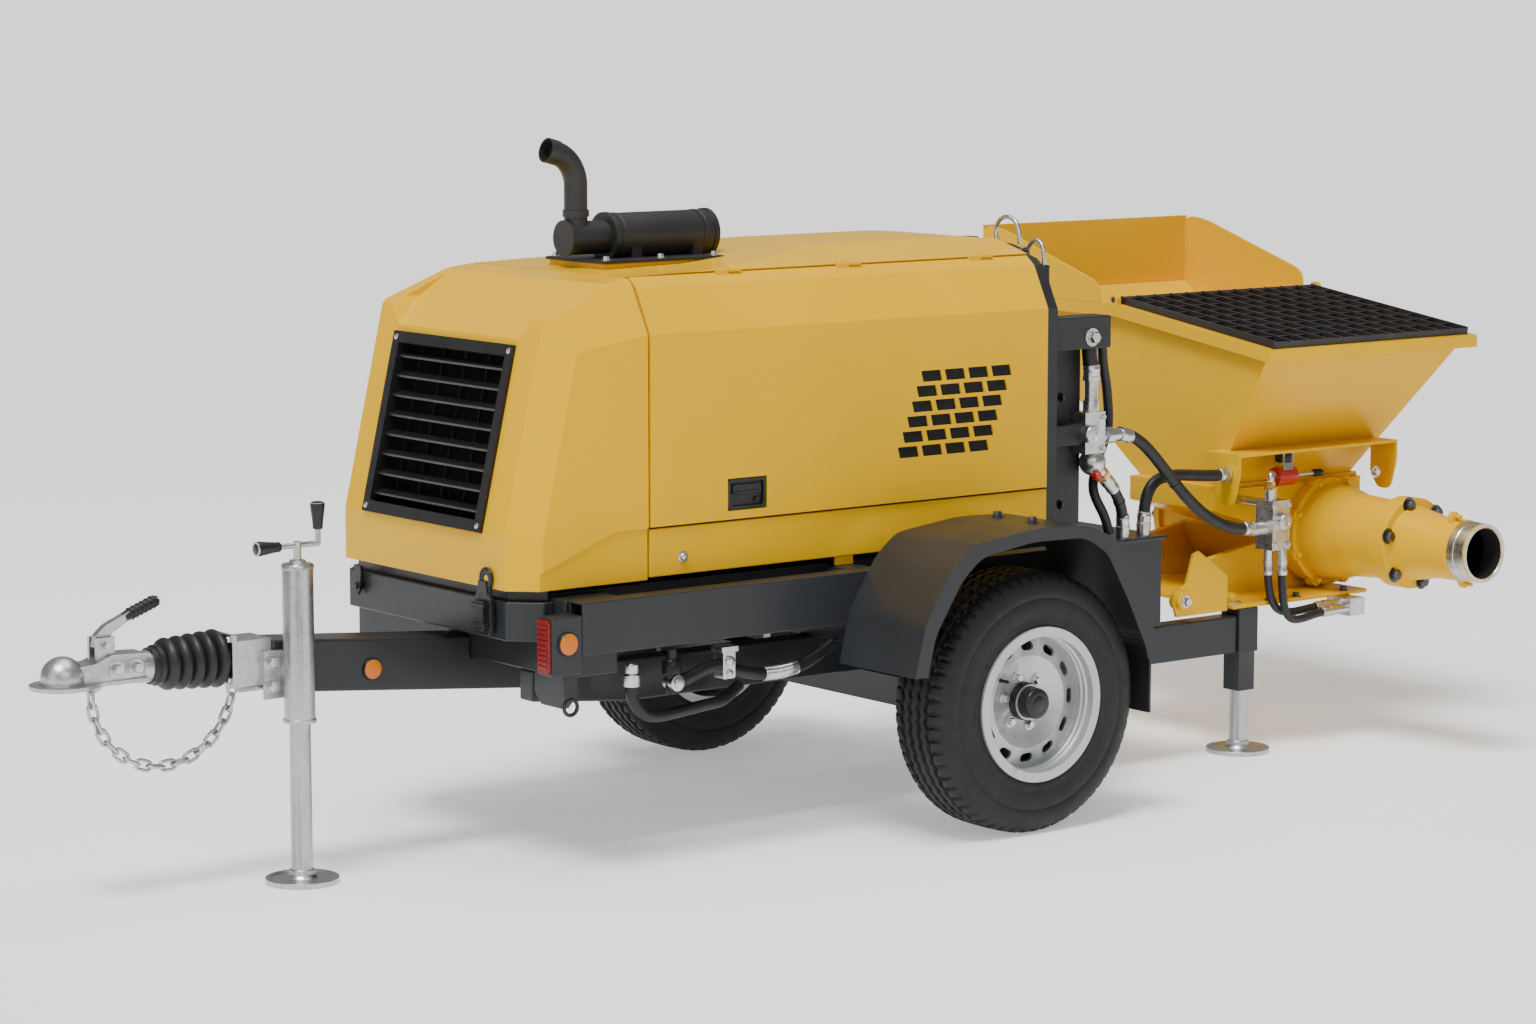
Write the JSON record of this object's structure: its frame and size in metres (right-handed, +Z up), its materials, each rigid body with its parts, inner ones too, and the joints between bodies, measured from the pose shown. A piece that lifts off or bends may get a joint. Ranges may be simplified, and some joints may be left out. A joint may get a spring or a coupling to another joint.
{
  "type": "trailer concrete pump",
  "caption": "Towed single-axle concrete pump with an engine hood, rear hopper with grate, crosswise pump outlet, jack and rear legs.",
  "frame": {"origin": "on the ground under the middle of the whole length and width", "axes": "+X towards the coupling, +Y towards the side of the outlet, +Z up"},
  "size_m": [4.614, 1.72, 1.8378],
  "materials": {
    "yellow_paint": "gloss",
    "anthracite_paint": "satin",
    "black_paint": "satin",
    "galvanised": "satin",
    "silver_paint": "satin",
    "tyre_rubber": "matte",
    "soft_rubber": "matte",
    "black_plastic": "matte",
    "plated_steel": "satin"
  },
  "bodies": {
    "chassis": {"side_beams": "anthracite_paint", "front_crossbar": "anthracite_paint", "crossmembers": "anthracite_paint", "rails": "anthracite_paint", "drawbar": "anthracite_paint", "axle_beam": "anthracite_paint", "mudguard_left": "anthracite_paint", "mudguard_right": "anthracite_paint", "mudflaps": "soft_rubber", "overrun_housing": "galvanised", "bellows": "soft_rubber", "coupling_head": "galvanised", "coupling_handle": "galvanised", "jack_tube": "galvanised", "jack_crank": "galvanised", "leg_sleeves": "anthracite_paint", "hood_nose": "yellow_paint", "front_grille": "black_plastic", "hood_roof": "yellow_paint", "hood_sills": "yellow_paint", "rear_bulkhead": "anthracite_paint", "engine_block": "black_paint", "muffler": "black_paint", "exhaust_pipe": "black_paint", "hydraulic_tank": "anthracite_paint", "hopper": "yellow_paint", "hopper_guard": "yellow_paint", "pump_housing": "yellow_paint", "pump_cone": "yellow_paint", "outlet_pipe": "yellow_paint", "pump_saddle": "yellow_paint", "valve_blocks": "plated_steel", "safety_chain": "galvanised", "hoses": "soft_rubber", "lamp_boxes": "anthracite_paint", "hood_latches": "black_plastic"},
    "wheel_left": {"tyre_left": "tyre_rubber", "rim_left": "silver_paint"},
    "wheel_right": {"tyre_right": "tyre_rubber", "rim_right": "silver_paint"},
    "door_left_panel": {"door_left": "yellow_paint"},
    "door_right_panel": {"door_right": "yellow_paint"},
    "grate": {"hopper_grate": "black_paint"},
    "jack_foot": {"jack_leg": "galvanised"},
    "rear_foot_left": {"rear_leg_left": "galvanised"},
    "rear_foot_right": {"rear_leg_right": "galvanised"}
  },
  "joints": [
    {"name": "wheel_left_spin", "type": "hinge", "parent": "chassis", "child": "wheel_left", "pos_m": [-0.207, 0.718, 0.35], "axis": [0, 1, 0], "continuous": true},
    {"name": "wheel_right_spin", "type": "hinge", "parent": "chassis", "child": "wheel_right", "pos_m": [-0.207, -0.718, 0.35], "axis": [0, 1, 0], "continuous": true},
    {"name": "door_left_lift", "type": "hinge", "parent": "chassis", "child": "door_left_panel", "pos_m": [0.115, 0.35666, 1.50078], "axis": [1, 0, 0], "range_deg": [0, 75]},
    {"name": "door_right_lift", "type": "hinge", "parent": "chassis", "child": "door_right_panel", "pos_m": [0.115, -0.35666, 1.50078], "axis": [-1, 0, 0], "range_deg": [0, 75]},
    {"name": "grate_lift", "type": "hinge", "parent": "chassis", "child": "grate", "pos_m": [-1.872, -0.25, 1.292], "axis": [1, 0, 0], "range_deg": [0, 85]},
    {"name": "jack_slide", "type": "slide", "parent": "chassis", "child": "jack_foot", "axis": [0, 0, 1], "range_m": [0, 0.3]},
    {"name": "rear_leg_left_slide", "type": "slide", "parent": "chassis", "child": "rear_foot_left", "axis": [0, 0, 1], "range_m": [0, 0.145]},
    {"name": "rear_leg_right_slide", "type": "slide", "parent": "chassis", "child": "rear_foot_right", "axis": [0, 0, 1], "range_m": [0, 0.145]}
  ]
}
